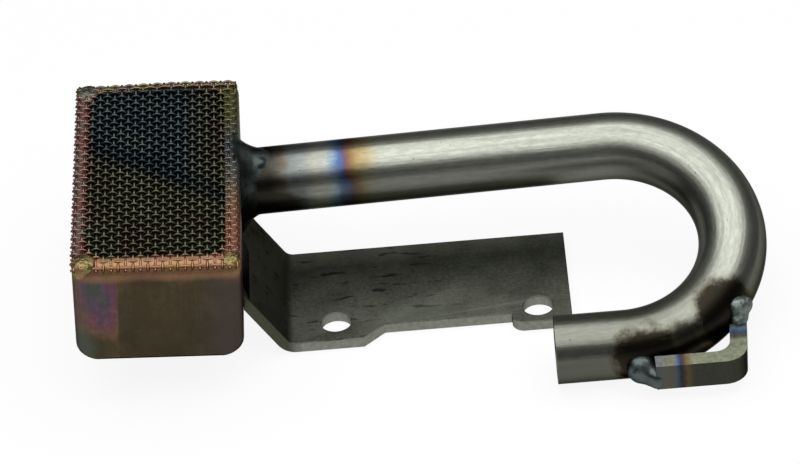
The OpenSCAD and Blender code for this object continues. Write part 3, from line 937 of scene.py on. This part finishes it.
def lug_finish(name, plain, level, rough):
    """Bar steel with heat tints that run inwards from its two welded ends, made lighter or darker
    as a whole by level as painted light.
    """
    made, tree = empty_material(name)
    place = place_of(tree)
    x, y, _ = split(place)
    ragged = swing(place, 0.0012, 300.0)
    past_stub = plus(minus(x, LONG_FROM), ragged)
    past_bend = plus(minus(SHORT_FROM, y), ragged)
    long_arm = ramp(sums("DIVIDE", past_stub, LONG_RUN), (*LONG_ARM, (0.76, plain)))
    short_arm = ramp(sums("DIVIDE", past_bend, SHORT_RUN), (*SHORT_ARM, (1.0, plain)))
    colour = blend(step(y, -0.0365, -0.0350), long_arm, short_arm)
    # Painted light: level lights the upper face's copy and shades the sides' copy.
    colour = blend(1.0, colour, (level, level, level), "MULTIPLY")
    fine = noise(place, 800.0, 4.0, 0.6)
    colour = blend(step(fine, 0.35, 0.65, 0.25, 0.0), colour, (0.05, 0.05, 0.04))
    metal(colour, step(fine, 0.3, 0.7, rough - 0.06, rough + 0.06), fine, 0.00005)
    return made


# Painted light: the upper face is a lit copy and the sides a shaded copy of one finish.
lug_lit_top = lug_finish("lug_lit_top", (0.36, 0.39, 0.27), 1.08, 0.56)
lug_shaded_side = lug_finish("lug_shaded_side", (0.14, 0.145, 0.11), 0.27, 0.40)
print("lug finishes made")

# %% [markdown]
# The solids of the bracket and the lug have the right shape, so a copy of each is merged,
# its flat triangles are dissolved into whole faces, and a small bevel takes off the knife
# edges. The lug's inner bend is rounder in the photo than in its solid, so the points of
# that arc move out to a larger arc between the same two faces. Each face then gets its
# finish by the way it points.

# %% Soften the bracket and the lug
bracket_bevel, lug_bevel, keen_angle = 0.30, 0.45, math.radians(28)
tight_r, tight_mid = 1.8, Vector((77.69, -37.175))
round_r, round_mid = 4.5, Vector((75.22, -34.475))


def merged_copy(node):
    """A copy of a solid, merged, with its flat triangles dissolved into whole faces."""
    bm = bmesh.new()
    bm.from_mesh(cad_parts[node].data)
    bmesh.ops.remove_doubles(bm, verts=bm.verts, dist=0.000002)
    bmesh.ops.dissolve_limit(bm, angle_limit=math.radians(0.6), verts=bm.verts, edges=bm.edges)
    return bm


def soften(bm, bevel):
    """Takes the knife edges off with small bevels."""
    keen = [e for e in bm.edges if len(e.link_faces) == 2 and e.calc_face_angle(0) > keen_angle]
    bmesh.ops.bevel(bm, geom=keen, offset=bevel * MM, affect="EDGES", segments=2, profile=0.5,
                    material=-1, clamp_overlap=True)


bm = merged_copy("mounting_bracket")
soften(bm, bracket_bevel)
for face in bm.faces:
    across_x, across_y, across_z = face.normal
    on_flange = abs(across_y) < 0.3 and across_x * across_z > 0.2
    face.material_index = 0 if abs(across_z) > 0.9 or on_flange else 1
hand_over("soft_bracket", bm, [mill_scale, sheared], ["mounting_bracket"], sharp=25)

bm = merged_copy("drive_lug")
for vert in bm.verts:
    arm = vert.co.xy / MM - tight_mid
    if arm.length < tight_r + 0.05:
        vert.co.xy = (round_mid + arm * round_r / tight_r) * MM
bm.normal_update()
soften(bm, lug_bevel)
for face in bm.faces:
    # Faces that point up take the lit copy, the others the shaded copy.
    face.material_index = 1 if abs(face.normal.z) > 0.6 else 0
hand_over("soft_lug", bm, [lug_shaded_side, lug_lit_top], ["drive_lug"], sharp=25)

# %% [markdown]
# ## Welds
# Weld metal is smooth, grey blue and shiny, with specks of soot. The bead at the box
# carries painted shade on its lower side and is darker at its end by the box, which two
# soft steps along the part's axes give. The weld on the short arm of the lug is lighter
# and rough like a crust, so it has a finish of its own.

# %% Make the weld finishes
WELD = ((0.25, (0.055, 0.068, 0.068)), (0.50, (0.085, 0.104, 0.102)), (0.75, (0.13, 0.15, 0.14)))
CRUST = ((0.30, (0.09, 0.11, 0.10)), (0.50, (0.18, 0.215, 0.20)), (0.70, (0.30, 0.34, 0.31)))
WELD_SPECK, WELD_DARK_AND_SHADE = (0.04, 0.04, 0.04), (0.012, 0.013, 0.010)
weld_metal, tree = empty_material("weld_metal")
place = place_of(tree)
x, _, z = split(place)
cloud = noise(place, 260.0, 4.0)
specks = step(noise(place, 420.0), 0.60, 0.72, 0.0, 0.8)
colour = blend(specks, ramp(cloud, WELD), WELD_SPECK)
# Painted shade on the bead's lower side; the bead is also darker at its end by the box.
bead_low_shade = step(plus(z, times(cloud, 0.012)), 0.046, 0.039, 0.38, 0.93)
bead_dark_end = step(plus(x, times(cloud, 0.006)), -0.0445, -0.0395, 0.0, 0.75)
at_box = step(x, -0.030, -0.036)
dark_end_and_shade = times(at_box, sums("MAXIMUM", bead_low_shade, bead_dark_end))
colour = blend(dark_end_and_shade, colour, WELD_DARK_AND_SHADE)
metal(colour, step(cloud, 0.3, 0.7, 0.34, 0.48), noise(place, 500.0), 0.00012)

weld_pad, tree = empty_material("weld_pad")
crust = noise(place_of(tree), 900.0, 4.0, 0.6)
metal(ramp(crust, CRUST), step(crust, 0.3, 0.7, 0.40, 0.58), crust, 0.00025)
print("weld finishes made")

# %% [markdown]
# The bead round the tube is a hollow fillet. A torus would bulge where the real one is
# hollow, so its profile is drawn and spun round the tube. Then its points move: it swells
# in slow waves, runs furthest along the tube on top, where the welder ended, and has a
# small cusp there. A hidden inner wall closes it.

# %% Lay the bead round the tube
bead_up, bead_run, hollow = 5.4, 7.2, 1.5
tube_bite, wall_bite, inner_bite = 0.1, 0.8, 0.4
lobe_at, lobe_width, cusp_at, cusp_width = 2.9, 0.65, 3.2, 0.13
cusp_z, cusp_run, cusp_up = 6.8, 1.2, 0.07
leg_frame = (bend_place @ Matrix.Translation(bend_end + leg_way * leg_len)
             @ Matrix.Rotation(overbend, 4, "Z") @ Matrix.Rotation(math.radians(90), 4, "Y"))


def off_angle(around, middle):
    """The angle from a middle, the short way round."""
    return math.remainder(around - middle, 2 * math.pi)


bm = bmesh.new()
bmesh.ops.create_grid(bm, x_segments=1, y_segments=24, size=0.5)
bmesh.ops.delete(bm, geom=[v for v in bm.verts if v.co.x > 0], context="VERTS")
for vert in bm.verts:
    share = vert.co.y + 0.5
    vert.co = (tube_r - tube_bite + bead_up * (1 - share) ** hollow, 0,
               bead_run * share ** hollow - wall_bite * (1 - share) ** 3)
bmesh.ops.spin(bm, geom=bm.verts[:] + bm.edges[:], cent=(0, 0, 0), axis=(0, 0, 1),
               angle=2 * math.pi, steps=160, use_merge=True)
bmesh.ops.remove_doubles(bm, verts=bm.verts, dist=0.001)
for vert in bm.verts:
    around = math.atan2(vert.co.y, vert.co.x)
    up = vert.co.xy.length - tube_r
    lobe = math.exp(-(off_angle(around, lobe_at) / lobe_width) ** 2)
    swell = 1 + 0.04 * math.sin(4 * around + 2) + 0.03 * math.sin(9 * around + 1) + 0.14 * lobe
    vert.co.xy = vert.co.xy.normalized() * (tube_r + (up * swell if up > 0 else up))
    if vert.co.z > 0:
        vert.co.z *= 0.66 + 0.70 * lobe + 0.05 * math.sin(5 * around)
    cusp = math.exp(-(off_angle(around, cusp_at) / cusp_width) ** 2
                    - ((vert.co.z - cusp_z) / cusp_run) ** 2)
    vert.co.xy *= 1 + cusp_up * cusp
rims = [e for e in bm.edges if e.is_boundary]
toe = [e for e in rims if e.verts[0].co.z > 0]
fresh, heel = pulled(bm, [e for e in rims if e.verts[0].co.z < 0])
for vert in fresh:
    vert.co.xy = vert.co.xy.normalized() * (tube_r - inner_bite)
bmesh.ops.bridge_loops(bm, edges=heel + toe)
bmesh.ops.recalc_face_normals(bm, faces=bm.faces)
bmesh.ops.transform(bm, matrix=leg_frame, verts=bm.verts)
hand_over("tube_bead", bm, [weld_metal], ["tube_weld"], sharp=60)

# %% [markdown]
# The two welds of the lug are melted lumps like those on the rim. On the stub three drops
# run down over the end of the bar, and on the bend a pad flows on to the short arm. The
# bead behind the flange is hidden, so its solid stays and only takes the finish.

# %% Drop the lug welds
stub_drops = (
    ((54.9, -38.9, 8.0), (4.4, 3.7, 4.4), -8, 0.05),
    ((57.4, -40.2, 6.9), (3.2, 3.2, 3.6), 10, 0.06),
    ((58.8, -42.2, 6.6), (2.4, 2.4, 3.2), 20, 0.06),
)
bend_drops = (
    ((83.0, -24.4, 15.9), (3.2, 2.8, 2.8), 20, 0.06),
    ((84.7, -23.4, 15.5), (2.9, 2.7, 2.7), 20, 0.06),
    ((83.1, -25.7, 12.9), (3.0, 3.0, 2.2), 0, 0.04),
)
hand_over("stub_drop", melted("stub_drop", stub_drops), [weld_metal],
          ["lug_weld_stub"], sharp=80)
hand_over("bend_drop", melted("bend_drop", bend_drops), [weld_pad],
          ["lug_weld_bend"], sharp=80)
hidden_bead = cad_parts["bracket_weld"].data.materials
hidden_bead.clear()
hidden_bead.append(weld_metal)
print("bracket_weld keeps its solid")

# %% Update the view layer
bpy.context.view_layer.update()
